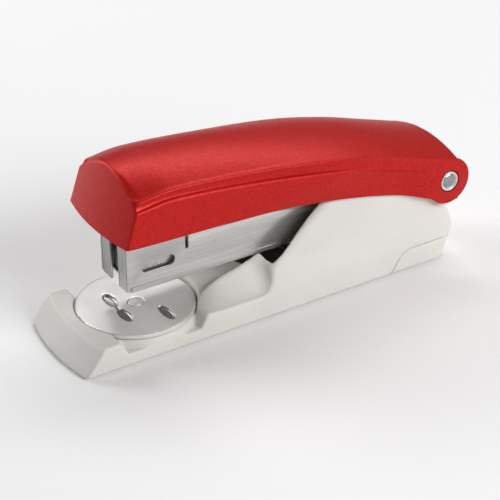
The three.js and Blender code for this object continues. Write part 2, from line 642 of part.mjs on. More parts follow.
const outer = baseOuter();
place('base_cover', baseCover(outer), FINISH.greyPlastic);
place('rear_heel', rearHeel(outer), FINISH.greyPlastic);
place('chassis_plate', chassisPlate(), FINISH.zincSteel);
place('front_foot', footPad(-61, -54.5), FINISH.rubber);
place('rear_foot', footPad(24, 38), FINISH.rubber);
place('chassis_screw_front', chassisScrew(SCREW_X[0]), FINISH.zincSteel);
place('chassis_screw_rear', chassisScrew(SCREW_X[1]), FINISH.zincSteel);
place('pivot_pin', pivotPin(), FINISH.nickel);
place('pivot_pin_cap', pivotPinCap(), FINISH.nickel);
place('anvil_rivet', anvilRivet(), FINISH.nickel);
place('anvil_spring_washer', anvilSpringWasher(), FINISH.springSteel);
place('lift_spring', liftSpring(), FINISH.springSteel);

place('anvil_plate', anvilPlate(), FINISH.nickel);

place('magazine_channel', magazineChannel(), FINISH.brushedSteel);
place('front_guide', frontGuide(), FINISH.brushedSteel);
place('staple_rail', stapleRail(), FINISH.zincSteel);
place('staple_strip', stapleStrip(), FINISH.stapleWire);
place('pusher_rod', pusherRod(), FINISH.springSteel);
place('rod_end_block', rodEndBlock(), FINISH.blackPlastic);
place('pusher_spring', pusherSpring(), FINISH.springSteel);
place('pusher', pusher(), FINISH.blackPlastic);

place('magazine_cover', magazineCover(), FINISH.brushedSteel);
place('handle_spring', handleSpring(), FINISH.springSteel);

place('handle_shell', handleShell(), FINISH.redPaint);
place('striker_frame', strikerFrame(), FINISH.zincSteel);
place('striker_blade', strikerBlade(), FINISH.springSteel);
place('blade_rivet_left', bladeRivet(BLADE_RIVET.y[0]), FINISH.springSteel);
place('blade_rivet_right', bladeRivet(BLADE_RIVET.y[1]), FINISH.springSteel);

export default stapler;
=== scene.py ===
"""The looks of the desktop stapler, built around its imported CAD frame.

Shapes are worked out in millimetres, in the frame's own axes: X along the length with the stapling
mouth at -X, Y across, Z up from the table. `add_mesh` turns them into metres.
"""

import math

import bmesh
import bpy
import numpy as np
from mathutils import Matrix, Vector


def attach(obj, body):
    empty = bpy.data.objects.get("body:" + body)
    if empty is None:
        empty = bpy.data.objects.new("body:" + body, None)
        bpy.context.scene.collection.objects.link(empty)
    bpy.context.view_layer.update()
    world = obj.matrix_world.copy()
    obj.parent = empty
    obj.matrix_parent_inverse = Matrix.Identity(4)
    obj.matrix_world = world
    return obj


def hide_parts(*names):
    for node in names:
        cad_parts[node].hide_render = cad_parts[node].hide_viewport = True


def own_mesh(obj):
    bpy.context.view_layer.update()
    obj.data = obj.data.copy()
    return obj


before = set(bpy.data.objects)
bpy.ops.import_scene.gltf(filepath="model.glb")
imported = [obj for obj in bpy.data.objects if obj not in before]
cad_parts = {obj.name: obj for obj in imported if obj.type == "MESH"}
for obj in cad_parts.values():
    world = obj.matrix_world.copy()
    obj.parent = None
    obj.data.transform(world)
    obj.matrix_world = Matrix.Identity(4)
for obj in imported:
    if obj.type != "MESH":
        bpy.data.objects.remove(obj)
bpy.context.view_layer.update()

MM = 0.001

# ---------------------------------------------------------------- driving dimensions, millimetres

PIVOT_X, PIVOT_Z = 61.0, 27.1     # axis of the pin that everything swings on
PIN_HOLE = 2.0                    # radii of the pin's hole, of its head, and of the head's seat
PIN_HEAD = 3.2
PIN_SEAT = 3.6

DISC_X, DISC_RADIUS, DISC_TOP, DISC_THICKNESS = -41.0, 17.75, 8.4, 1.4
DISC_PITCH = 0.28                 # spacing of the disc's mesh
RIVET_HOLE = 1.6
RIVET_DISH = (2.45, 0.9)          # radius and depth of the dish round the rivet's head
POCKETS = [                       # x, y, half size along X, half size along Y, depth
    (-46.9, 4.6, 1.7, 3.9, 1.0),
    (-36.0, 9.7, 1.6, 4.2, 0.95),
]
MIDDLE_POCKET = (-46.9, 0, 0.65, 2.4, 0.6)

HALF_WIDTH = 18.0                 # base
BASE_BOTTOM = 0.6
BASE_PITCH = 0.5                  # spacing of the base's mesh
DECK_Z = 8.7                      # front deck round the disc
BORDER_Z = 8.4                    # narrow border along the top of the skirt
NOTCH_Z = 4.5                     # floor of the finger notches
PEDESTAL_RADIUS, PEDESTAL_TOP = 18.15, 6.9  # round step under the disc, between the notches
NOSE_X, NOSE_BOW, NOSE_SLOPE = -68.8, 2.3, 0.78
FLANK_OUT, FLANK_IN = 17.0, 9.2   # distances from the middle between which a flank climbs
WALL_SETBACK = 3.05               # of the upright wall, in from the skirt
SEAT_GAP = 0.45                   # round the disc
SEAT_FLOOR, SEAT_LEDGE = 6.0, 0.7
LEDGE_START, LEDGE_END = 15.9, 16.6
NOSE_WALL, NOSE_POCKET_HALF, NOSE_POCKET_REAR, NOSE_POCKET_TOP = 7, 12.8, -18, 3.4
ROUND_POCKET = (14, 4.6)          # radius and top of the pocket under the disc's seat
MIDDLE_SPACE = (-26, -15.4, -3), (2, 15.4, 6)        # boxes, from corner to corner
REAR_SPACE = (-0.8, -15.2, -3), (59, 15.2, 6.4)
HANDLE_SLOT = (50, -13, 18.9), (90, 13, 40)
WELL_FRONT, WELL_REAR, WELL_HALF = -28, 20, 8.7
HOLLOW_FRONT, HOLLOW_REAR, HOLLOW_HALF = -3.9, 59, 13.0
SCREW_PLACES = (-51, -12)
SCREW_HOLE, SCREW_HOLE_TOP = 1.5, 5.4
BOSS_RADIUS, BOSS_MIDDLE, BOSS_HALF = 3, 4.6, 1.2
HEEL_TOP, HEEL_FRONT, HEEL_WALL_Y = 7.65, 62, 16.3
SEAM = 0.18                       # gap between the base cover and the rear heel

HANDLE_HALF = 17.5
HANDLE_WALL = 2.2
HANDLE_REAR = 64.7
LUG_RADIUS = 7.7
LUG_GAP = 0.4                     # between a lug and the base
ROLL_RADIUS, LIP_RADIUS = 1.1, 0.7  # rounded top edges of the side panel and of the band above it
TUCK_DEPTH, TUCK_SLOPE = 1.5, 0.14  # the side leans in below its diagonal crease
FRONT_X, FRONT_BOW, FRONT_LEAN, FRONT_FOOT_Z = -53.7, 2.0, 0.34, 37.6
PANEL_STEPS, ROLL_STEPS, BAND_STEPS, LEDGE_STEPS, DOME_STEPS = 16, 6, 5, 5, 20

STRIP_FRONT, STRIP_REAR, STRIP_TOP, STRIP_HALF = -44.4, -8.0, 25.6, 6.45
STAPLE_PITCH, STAPLE_GAP, STAPLE_LEG = 0.66, 0.05, 6.0
STAPLE_WIRE, STAPLE_BEND = 0.5, 0.35
STAPLE_CROWN, STAPLE_TAPER = 0.06, 0.08  # each wire's rounded front and rear edges

PUSHER_COIL = {"radius": 1.75, "start": 5.9, "end": 42.2, "turns": 17, "axis": "X",
               "centre": (0, 0, 21.8)}
PUSHER_WIRE, PUSHER_SPRING_END = 0.26, (42.5, 0, 21.8)
HANDLE_COIL = {"radius": 3.4, "start": 32.4, "end": 44.0, "turns": 6, "axis": "Z",
               "centre": (-12, 0, 0)}
HANDLE_WIRE, HANDLE_SPRING_END = 0.45, (-12, 0, 31.9)


# ---------------------------------------------------------------- curves and smooth joins

def curve(points):
    """A smooth curve through a few (position, value) points, as a function of the position."""
    xs, values = np.array(points, float).T
    last = len(xs) - 1
    before = np.maximum(np.arange(last + 1) - 1, 0)
    after = np.minimum(np.arange(last + 1) + 1, last)
    slopes = (values[after] - values[before]) / (xs[after] - xs[before])

    def value_at(x):
        i = np.clip(np.searchsorted(xs, x, side="right") - 1, 0, last - 1)
        span = xs[i + 1] - xs[i]
        t = np.clip((x - xs[i]) / span, 0, 1)
        rise = (3 - 2 * t) * t * t
        return (
            values[i] + (values[i + 1] - values[i]) * rise
            + slopes[i] * span * t * (1 - t) ** 2
            - slopes[i + 1] * span * t * t * (1 - t)
        )

    return value_at


def ramp(x, start, end):
    """0 before start, 1 after end, and smooth between them."""
    t = np.clip((x - start) / (end - start), 0, 1)
    return t * t * (3 - 2 * t)


def both(a, b, rounding):
    """The space inside both fields, with their common edge rounded. Fields are negative inside."""
    near = np.maximum(rounding - np.abs(a - b), 0) / rounding
    return np.maximum(a, b) + near * near * rounding / 4


def either(a, b, rounding):
    """The space inside either field, with the corner between them filled."""
    return -both(-a, -b, rounding)


def without(body, tool, rounding):
    """The body less the tool, with the edge of the cut rounded."""
    return both(body, -tool, rounding)


def half_plane(u, v, start, end):
    """Distance to the left of the line from start to end, in the plane of u and v."""
    du, dv = end[0] - start[0], end[1] - start[1]
    return ((v - start[1]) * du - (u - start[0]) * dv) / math.hypot(du, dv)


def box_field(x, y, z, low, high, rounding=0.6):
    """A rounded box, from two corners."""
    field = None
    for value, a, b in zip((x, y, z), low, high):
        slab = np.abs(value - (a + b) / 2) - (b - a) / 2
        field = slab if field is None else both(field, slab, rounding)
    return field


# ---------------------------------------------------------------- meshes

def add_mesh(name, points, faces, scale=MM):
    """A new mesh object in the scene, from points in millimetres."""
    mesh = bpy.data.meshes.new(name)
    mesh.from_pydata((np.asarray(points, float) * scale).tolist(), [], [tuple(f) for f in faces])
    mesh.validate()
    obj = bpy.data.objects.new(name, mesh)
    bpy.context.scene.collection.objects.link(obj)
    return obj


def edit(obj, change):
    """Run a bmesh change on an object's mesh."""
    work = bmesh.new()
    work.from_mesh(obj.data)
    change(work)
    work.to_mesh(obj.data)
    work.free()
    obj.data.update()


def welded(work, reach, sliver=1e-8):
    """Join points within reach of each other, drop slivers, and turn the faces outward."""
    bmesh.ops.remove_doubles(work, verts=work.verts, dist=reach)
    bmesh.ops.dissolve_degenerate(work, edges=work.edges, dist=sliver)
    bmesh.ops.recalc_face_normals(work, faces=work.faces)


def shade(obj, angle=35):
    """Smooth shading that stays crisp at edges sharper than the angle."""
    limit = math.radians(angle)

    def mark(work):
        for face in work.faces:
            face.smooth = True
        for edge in work.edges:
            edge.smooth = len(edge.link_faces) == 2 and edge.calc_face_angle(0) < limit

    edit(obj, mark)


def settle(obj):
    """Turn an object's modifiers into mesh."""
    graph = bpy.context.evaluated_depsgraph_get()
    mesh = bpy.data.meshes.new_from_object(obj.evaluated_get(graph))
    obj.modifiers.clear()
    obj.data = mesh


def combine(body, tool, operation):
    """Join or cut two closed meshes; the tool is used up."""
    bpy.context.view_layer.update()
    modifier = body.modifiers.new(operation, "BOOLEAN")
    modifier.operation = operation
    modifier.solver = "EXACT"
    modifier.object = tool
    settle(body)
    bpy.data.objects.remove(tool)
    return body


def skin(name, field, low, high, pitch):
    """The surface of a field as a fine mesh: one point in each cell that it crosses, moved onto it."""
    axes = [np.arange(a - 2 * pitch, b + 2 * pitch, pitch) for a, b in zip(low, high)]
    x, y, z = axes[0][:, None, None], axes[1][None, :, None], axes[2][None, None, :]
    values = field(x, y, z) + np.zeros((len(axes[0]), len(axes[1]), len(axes[2])))
    inside = values < 0
    counts = [n - 1 for n in values.shape]
    total = np.zeros(counts + [3])
    crossings = np.zeros(counts)
    edges = []
    for axis in range(3):
        here = [slice(None)] * 3
        there = [slice(None)] * 3
        here[axis], there[axis] = slice(0, -1), slice(1, None)
        first, second = values[tuple(here)], values[tuple(there)]
        crossed = inside[tuple(here)] != inside[tuple(there)]
        share = np.where(crossed, first / np.where(crossed, first - second, 1), 0)
        edges.append((crossed, inside[tuple(here)]))
        others = [a for a in range(3) if a != axis]
        for shift in ((0, 0), (0, 1), (1, 0), (1, 1)):
            pick = [slice(None)] * 3
            for other, step in zip(others, shift):
                pick[other] = slice(step, step + counts[other])
            hit = crossed[tuple(pick)]
            crossings += hit
            for a in range(3):
                if a == axis:
                    total[..., a] += share[tuple(pick)] * hit
                else:
                    total[..., a] += shift[others.index(a)] * hit
    used = crossings > 0
    index = np.full(counts, -1)
    index[used] = np.arange(used.sum())
    cells = np.argwhere(used)
    origin = np.array([a[0] for a in axes])
    points = origin + pitch * (cells + total[used] / crossings[used][:, None])
    points = onto(field, points, pitch)
    faces = []
    for axis, (crossed, starts_inside) in enumerate(edges):
        u, v = [a for a in range(3) if a != axis]
        at = np.argwhere(crossed)
        at = at[(at[:, u] > 0) & (at[:, v] > 0) & (at[:, u] < counts[u]) & (at[:, v] < counts[v])]
        corners = []
        for du, dv in ((1, 1), (0, 1), (0, 0), (1, 0)):
            cell = at.copy()
            cell[:, u] -= du
            cell[:, v] -= dv
            corners.append(index[cell[:, 0], cell[:, 1], cell[:, 2]])
        quads = np.stack(corners, 1)
        flip = starts_inside[at[:, 0], at[:, 1], at[:, 2]] == (axis == 1)
        quads[flip] = quads[flip][:, ::-1]
        faces.append(quads)
    return add_mesh(name, points, np.concatenate(faces).tolist())


def onto(field, points, pitch, rounds=4):
    """Move points along the field's slope onto its surface, by half a cell at most each time."""
    step = pitch * 0.05
    for _ in range(rounds):
        value = field(points[:, 0], points[:, 1], points[:, 2])
        slope = np.stack([
            field(*(points + step * axis).T) - field(*(points - step * axis).T) for axis in np.eye(3)
        ], 1) / (2 * step)
        move = value[:, None] * slope / np.maximum((slope ** 2).sum(1), 0.05)[:, None]
        length = np.linalg.norm(move, axis=1, keepdims=True)
        points = points - move * np.minimum(1, 0.5 * pitch / np.maximum(length, 1e-9))
    return points


def thinned(obj, share):
    """Drop triangles that the shape doesn't need."""
    modifier = obj.modifiers.new("thin", "DECIMATE")
    modifier.ratio = share
    settle(obj)
    return obj


def grid_faces(rows, columns, start=0, close_rows=False, close_columns=False):
    """Quads over points laid out row by row."""
    faces = []
    for i in range(rows if close_rows else rows - 1):
        for j in range(columns if close_columns else columns - 1):
            a, b = i * columns, (i + 1) % rows * columns
            k = (j + 1) % columns
            faces.append([start + a + j, start + a + k, start + b + k, start + b + j])
    return faces


def turned(name, profile, centre, axis, segments=72):
    """A turned piece from (radius, height) pairs, standing on the axis through centre."""
    profile = np.array(profile, float)
    angles = np.arange(segments) * 2 * math.pi / segments
    side = {"Y": (2, 0, 1), "Z": (0, 1, 2), "X": (1, 2, 0)}[axis]
    points = np.zeros((segments, len(profile), 3))
    points[..., side[0]] = np.outer(np.cos(angles), profile[:, 0])
    points[..., side[1]] = np.outer(np.sin(angles), profile[:, 0])
    points[..., side[2]] = profile[:, 1]
    obj = add_mesh(name, (points + centre).reshape(-1, 3),
                   grid_faces(segments, len(profile), close_rows=True, close_columns=True))
    edit(obj, lambda work: welded(work, 1e-7))
    return obj


def arc(centre, radius, start, end, count):
    """Points on an arc, angles in degrees."""
    angles = np.radians(np.linspace(start, end, count))
    return [(centre[0] + radius * math.cos(a), centre[1] + radius * math.sin(a)) for a in angles]


def tube(name, path, radius, sides=10):
    """Round wire along a list of points."""
    path = np.array(path, float)
    along = np.gradient(path, axis=0)
    along /= np.linalg.norm(along, axis=1, keepdims=True)
    points = []
    side = np.cross(along[0], (0.3, 0.5, 0.8))
    for place, forward in zip(path, along):
        side = side - forward * side.dot(forward)
        side /= np.linalg.norm(side)
        across = np.cross(forward, side)
        for k in range(sides):
            angle = 2 * math.pi * k / sides
            points.append(place + radius * (math.cos(angle) * side + math.sin(angle) * across))
    faces = grid_faces(len(path), sides, close_columns=True)
    faces.append(list(range(sides))[::-1])
    faces.append([(len(path) - 1) * sides + k for k in range(sides)])
    obj = add_mesh(name, points, faces)
    edit(obj, lambda work: welded(work, 1e-7))
    return obj


def helix(radius, start, end, turns, axis, centre, steps=20):
    """Points of a coil spring, by turns whose pitch changes smoothly along it."""
    t = np.linspace(0, 1, int(turns * steps) + 1)
    rise = start + (end - start) * (t + 0.35 * np.sin(2 * math.pi * t) / (2 * math.pi))
    angle = t * turns * 2 * math.pi
    around = radius * np.cos(angle), radius * np.sin(angle)
    if axis == "X":
        return np.stack([rise, centre[1] + around[0], centre[2] + around[1]], 1)
    return np.stack([centre[0] + around[0], centre[1] + around[1], rise], 1)


def refined(node, edge=0.12, angle=28):
    """A copy of a CAD node's mesh with its flats merged and its sharp edges rounded."""
    obj = bpy.data.objects.new(node + "_fine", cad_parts[node].data.copy())
    bpy.context.scene.collection.objects.link(obj)

    def change(work):
        bmesh.ops.remove_doubles(work, verts=work.verts, dist=2e-6)
        bmesh.ops.dissolve_limit(work, angle_limit=math.radians(1.5), verts=work.verts, edges=work.edges)
        sharp = [e for e in work.edges
                 if len(e.link_faces) == 2 and e.calc_face_angle(0) > math.radians(angle)]
        bmesh.ops.bevel(work, geom=sharp, offset=edge * MM, segments=2, profile=0.5, affect="EDGES",
                        clamp_overlap=True)
        bmesh.ops.triangulate(work, faces=[f for f in work.faces if len(f.verts) > 4])

    edit(obj, change)
    obj.data.materials.clear()
    return obj


# ---------------------------------------------------------------- materials

def tree_of(name):
    """A new node material, and what it takes to wire it up."""
    material = bpy.data.materials.new(name)
    material.use_nodes = True
    nodes = material.node_tree.nodes
    return material, nodes, material.node_tree.links, nodes["Principled BSDF"]


def noise(nodes, links, scale, stretch=(1, 1, 1), detail=2.0):
    """A noise pattern in the piece's own space, in metres; stretch squeezes it along an axis."""
    place = nodes.new("ShaderNodeTexCoord")
    mapping = nodes.new("ShaderNodeMapping")
    mapping.inputs["Scale"].default_value = stretch
    texture = nodes.new("ShaderNodeTexNoise")
    texture.inputs["Scale"].default_value = scale
    texture.inputs["Detail"].default_value = detail
    links.new(place.outputs["Object"], mapping.inputs["Vector"])
    links.new(mapping.outputs["Vector"], texture.inputs["Vector"])
    return texture.outputs["Fac"]


def spread(nodes, links, source, low, high, to_low=0.0, to_high=1.0):
    """Stretch a pattern's middle range over new limits."""
    node = nodes.new("ShaderNodeMapRange")
    node.inputs["From Min"].default_value = low
    node.inputs["From Max"].default_value = high
    node.inputs["To Min"].default_value = to_low
    node.inputs["To Max"].default_value = to_high
    links.new(source, node.inputs["Value"])
    return node.outputs["Result"]


def tint(nodes, links, source, dark, light):
    """Colours between dark and light by a pattern."""
    node = nodes.new("ShaderNodeValToRGB")
    node.color_ramp.elements[0].color = (*dark, 1)
    node.color_ramp.elements[1].color = (*light, 1)
    links.new(source, node.inputs["Fac"])
    return node.outputs["Color"]


def bump(nodes, links, source, depth, shader, strength=1.0, below=None):
    """Raise a pattern on a shader's surface by depth, in metres, on top of the bump below."""
    node = nodes.new("ShaderNodeBump")
    node.inputs["Strength"].default_value = strength
    node.inputs["Distance"].default_value = depth
    links.new(source, node.inputs["Height"])
    if below is not None:
        links.new(below, node.inputs["Normal"])
    links.new(node.outputs["Normal"], shader.inputs["Normal"])
    return node.outputs["Normal"]


def worked(name, dark, light, roughness, metallic, grain, stretch=(1, 1, 1), depth=2e-6, cloud=60):
    """A general finish: a fine grain for bump and tone, and a slow cloud in the roughness."""
    material, nodes, links, shader = tree_of(name)
    fine = noise(nodes, links, grain, stretch)
    slow = noise(nodes, links, cloud, detail=3.0)
    tone = spread(nodes, links, fine, 0.3, 0.7)
    links.new(tint(nodes, links, tone, dark, light), shader.inputs["Base Color"])
    links.new(spread(nodes, links, slow, 0.3, 0.7, *roughness), shader.inputs["Roughness"])
    shader.inputs["Metallic"].default_value = metallic
    bump(nodes, links, fine, depth, shader)
    return material


RED_DARK, RED_LIGHT = (0.44, 0.005, 0.004), (0.56, 0.014, 0.010)
GREY_DARK, GREY_LIGHT = (0.70, 0.68, 0.645), (0.75, 0.735, 0.70)
NICKEL_DARK, NICKEL_LIGHT = (0.80, 0.79, 0.77), (0.88, 0.87, 0.85)
RED_ROUGHNESS, GREY_ROUGHNESS, NICKEL_ROUGHNESS = (0.38, 0.5), (0.42, 0.56), (0.3, 0.38)
ALONG_X, ALONG_Z = (0.04, 1, 1), (1, 1, 0.04)    # grain drawn out along an axis


def red_paint():
    """Satin metallic red: a pigmented ground, fine bright flakes and a soft clear coat."""
    material, nodes, links, shader = tree_of("red_metallic_paint")
    place = nodes.new("ShaderNodeTexCoord")
    flakes = nodes.new("ShaderNodeTexVoronoi")
    flakes.inputs["Scale"].default_value = 2600
    links.new(place.outputs["Object"], flakes.inputs["Vector"])
    glint = nodes.new("ShaderNodeSeparateColor")
    links.new(flakes.outputs["Color"], glint.inputs["Color"])
    tone = spread(nodes, links, glint.outputs["Red"], 0.0, 1.0)
    links.new(tint(nodes, links, tone, RED_DARK, RED_LIGHT), shader.inputs["Base Color"])
    links.new(spread(nodes, links, glint.outputs["Green"], 0.0, 1.0, *RED_ROUGHNESS),
              shader.inputs["Roughness"])
    shader.inputs["Metallic"].default_value = 0.35
    shader.inputs["Specular IOR Level"].default_value = 0.18
    shader.inputs["Coat Weight"].default_value = 0.1
    shader.inputs["Coat Roughness"].default_value = 0.35
    lumps = noise(nodes, links, scale=1500)
    first = bump(nodes, links, glint.outputs["Blue"], depth=6e-6, shader=shader)
    bump(nodes, links, lumps, depth=4e-6, shader=shader, below=first)
    return material


def moulded_plastic():
    """Warm light grey ABS with a very fine spark-eroded grain."""
    material, nodes, links, shader = tree_of("warm_grey_plastic")
    grain = noise(nodes, links, scale=2200, detail=3.0)
    slow = noise(nodes, links, scale=45)
    tone = spread(nodes, links, slow, 0.3, 0.7)
    links.new(tint(nodes, links, tone, GREY_DARK, GREY_LIGHT), shader.inputs["Base Color"])
    links.new(spread(nodes, links, grain, 0.3, 0.7, *GREY_ROUGHNESS), shader.inputs["Roughness"])
    shader.inputs["Subsurface Weight"].default_value = 0.04
    shader.inputs["Subsurface Scale"].default_value = 0.002
    bump(nodes, links, grain, depth=1.1e-5, shader=shader)
    return material


def polished_disc():
    """Bright nickel with faint concentric turning lines about the disc's axis."""
    material, nodes, links, shader = tree_of("polished_nickel")
    place = nodes.new("ShaderNodeTexCoord")
    shift = nodes.new("ShaderNodeMapping")
    shift.inputs["Location"].default_value = (-DISC_X * MM, 0, 0)
    waves = nodes.new("ShaderNodeTexWave")
    waves.wave_type = "RINGS"
    waves.rings_direction = "Z"
    waves.inputs["Scale"].default_value = 900
    waves.inputs["Distortion"].default_value = 1.5
    links.new(place.outputs["Object"], shift.inputs["Vector"])
    links.new(shift.outputs["Vector"], waves.inputs["Vector"])
    slow = noise(nodes, links, scale=120, detail=3.0)
    links.new(tint(nodes, links, slow, NICKEL_DARK, NICKEL_LIGHT), shader.inputs["Base Color"])
    links.new(spread(nodes, links, slow, 0.3, 0.7, *NICKEL_ROUGHNESS), shader.inputs["Roughness"])
    shader.inputs["Metallic"].default_value = 0.55
    bump(nodes, links, waves.outputs["Fac"], depth=6e-7, shader=shader, strength=0.5)
    return material


FINISH = {
    "red_paint": red_paint(),
    "base_plastic": moulded_plastic(),
    "bright_nickel": polished_disc(),
    "magazine_steel": worked("drawn_nickel_steel", (0.62, 0.61, 0.59), (0.72, 0.71, 0.69), (0.24, 0.36),
                             0.8, 900, stretch=ALONG_X, depth=1.5e-6),
    # painted shade: a darker copy of the magazine steel for the channel's sides below the cover
    "trough_steel_painted_shade": worked("trough_steel_painted_shade", (0.50, 0.495, 0.48), (0.60, 0.59, 0.575), (0.26, 0.38),
                           0.8, 900, stretch=ALONG_X, depth=1.5e-6),
    # painted shade: a darker copy of the magazine steel for the front guide's flange
    "flange_steel_painted_shade": worked("flange_steel_painted_shade", (0.34, 0.34, 0.33), (0.44, 0.44, 0.43), (0.28, 0.4),
                           0.9, 900, stretch=ALONG_Z, depth=1.5e-6),
    "zinc_steel": worked("zinc_plated_steel", (0.40, 0.41, 0.42), (0.55, 0.56, 0.57), (0.35, 0.5),
                         1.0, 700),
    "spring_steel": worked("spring_steel", (0.28, 0.28, 0.29), (0.40, 0.40, 0.41), (0.25, 0.4),
                           1.0, 1500),
    "staple_wire": worked("staple_wire", (0.50, 0.50, 0.49), (0.66, 0.66, 0.65), (0.25, 0.4),
                          1.0, 1800),
    "black_plastic": worked("black_plastic", (0.014, 0.014, 0.015), (0.026, 0.026, 0.027), (0.45, 0.6),
                            0.0, 1500, depth=8e-6),
    "foot_rubber": worked("foot_rubber", (0.022, 0.022, 0.023), (0.045, 0.045, 0.046), (0.75, 0.9),
                          0.0, 2500, depth=2e-5),
}


def dress(obj, body, slot, *nodes, angle=35, finish=None):
    """Shade a piece, give it its slot's finish or its own, and set what it rides on and replaces."""
    shade(obj, angle)
    obj.data.materials.clear()
    obj.data.materials.append(FINISH[finish or slot])
    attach(obj, body)
    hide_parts(*nodes)
    return obj


# ---------------------------------------------------------------- base cover and rear heel

CREASE = curve([(-70, 7.1), (-27, 7.1), (0, 7.5), (20, 9.5), (45, 9.6), (70, 10)])
BAND_TOP = curve([(-3, 16.5), (15, 16.4), (31, 18.2), (46, 18.8), (70, 18)])
CHEEK_RIDGE = curve([(-30, 7.6), (-26.5, 9.0), (-23, 11.8), (-19, 13.8), (-12, 15.6), (-6, 17.2),
                     (-2, 18.0), (4, 19)])
REAR_X = curve([(0.6, 64.0), (7.4, 66.3), (10.7, 67.1), (16, 65.7), (19.1, 64.3), (32, 60)])
ROOF_Z = curve([(-3, 32.0), (17.5, 31.9), (40, 30.8), (51, 29.2), (57.5, 29.1), (61, 30.0), (70, 30.2)])
WELL_FLOOR = curve([(-28, 8.5), (-22, 9.8), (-12, 11.1), (2, 12.2), (20, 12.2)])


def side_field(x, y, z):
    """Outside of the skirt, of the flared band above its crease and of the upright upper wall."""
    crease = CREASE(x)
    climb = (z - crease) / (BAND_TOP(x) - crease)
    lean = np.clip(either(climb, np.ones_like(climb), 0.2), 0, 1)
    return np.abs(y) - HALF_WIDTH + WALL_SETBACK * lean


def top_field(x, y, z):
    """The deck at the front, and the hollowed flanks that climb to the cheeks' ridges."""
    border = DECK_Z + (BORDER_Z - DECK_Z) * ramp(x, -30, -20)
    climb = np.clip((FLANK_OUT - np.abs(y)) / (FLANK_OUT - FLANK_IN), 0, 1.3)
    rise = np.maximum(CHEEK_RIDGE(x) - border, 0)
    return (z - border - rise * climb ** 1.3) * 0.85


def housing_front(x, z):
    """The slanting front edge of the housing, which drops to the flank."""
    slant = half_plane(x, z, (-3.2, 15.7), (14.7, 31.6))
    return both(slant, -3.4 - x, 1.0)


def nose_field(x, y, z, wall=0):
    """Ahead of the bowed, raked nose, or of a face set back from it by a wall."""
    return NOSE_X + wall + NOSE_BOW * (y / HALF_WIDTH) ** 2 + NOSE_SLOPE * (z - BASE_BOTTOM) - x


def from_pivot(x, z):
    """Distance from the pivot's axis."""
    return np.hypot(x - PIVOT_X, z - PIVOT_Z)


def base_outer(x, y, z):
    """The whole base from outside, with room at the rear for the handle's lugs."""
    top = either(top_field(x, y, z), housing_front(x, z), 5.5)
    edge = 0.75 + 2.4 * ramp(z, 11, 19)    # the upper corners are softer than the skirt's
    body = both(top, side_field(x, y, z), edge)
    body = both(body, z - ROOF_Z(x), 1.0)
    body = both(body, nose_field(x, y, z) / math.hypot(1, NOSE_SLOPE), 0.7)
    body = both(body, x - REAR_X(z) + 1.2 * (y / 14) ** 2, 6.5)
    sweep = from_pivot(x, z) - LUG_RADIUS - LUG_GAP
    behind_lugs = both(sweep, 15.2 - np.abs(y), 0.4)
    behind_pivot = both(sweep, PIVOT_X + 0.2 - x, 0.4)
    body = without(without(body, behind_lugs, 0.5), behind_pivot, 0.5)
    return both(body, BASE_BOTTOM - z, 0.8)


def heel_zone(x, y, z, gap):
    """The space that the rear heel fills at the lower rear corners, made larger by a gap."""
    slope = half_plane(x, z, (39.4 - gap, BASE_BOTTOM), (43.2 - gap, 6.6))
    lower = both(z - HEEL_TOP - gap, slope, 3.0)
    inner = both(x - HEEL_FRONT + gap, np.abs(y) - HEEL_WALL_Y + gap, 0.5)
    return without(lower, inner, 0.5)


def notch_field(x, y, z):
    """The finger notches at both sides of the disc, without the round pedestal under it."""
    front = half_plane(x, z, (-52.9, NOTCH_Z), (-55.2, 9))
    rear = half_plane(x, z, (-27.1, 8.4), (-29.4, NOTCH_Z))
    across = both(both(front, rear, 0.4), NOTCH_Z - z, 0.6)
    radius = np.hypot(x - DISC_X, y)
    pedestal = both(radius - PEDESTAL_RADIUS, z - PEDESTAL_TOP, 2.2)
    return without(across, pedestal, 0.9)


def disc_seat(radius, z):
    """The round recess for the disc, with a ledge under the disc's rim."""
    floor = SEAT_FLOOR + SEAT_LEDGE * ramp(radius, LEDGE_START, LEDGE_END)
    return both(radius - DISC_RADIUS - SEAT_GAP, floor - z, 0.3)


def nose_pocket(x, y, z):
    """The hollow under the nose."""
    around = both(nose_field(x, y, z, NOSE_WALL), np.abs(y) - NOSE_POCKET_HALF, 1)
    return both(around, both(x - NOSE_POCKET_REAR, z - NOSE_POCKET_TOP, 0.5), 0.5)


def magazine_well(x, y, z):
    """The trough between the flanks, which the magazine sinks into."""
    around = both(WELL_FRONT - x, np.abs(y) - WELL_HALF, 1.0)
    return both(around, both(x - WELL_REAR, WELL_FLOOR(x) - z, 0.5), 0.6)


def housing_hollow(x, y):
    """The inside of the housing, a little wider at its flared mouth."""
    width = np.abs(y)
    reach = HOLLOW_HALF + 0.9 * (1 - ramp(x, 0, 12))
    mouth = HOLLOW_FRONT + 0.34 * (width - 9) - x
    return both(both(mouth, width - reach, 0.6), x - HOLLOW_REAR, 0.5)


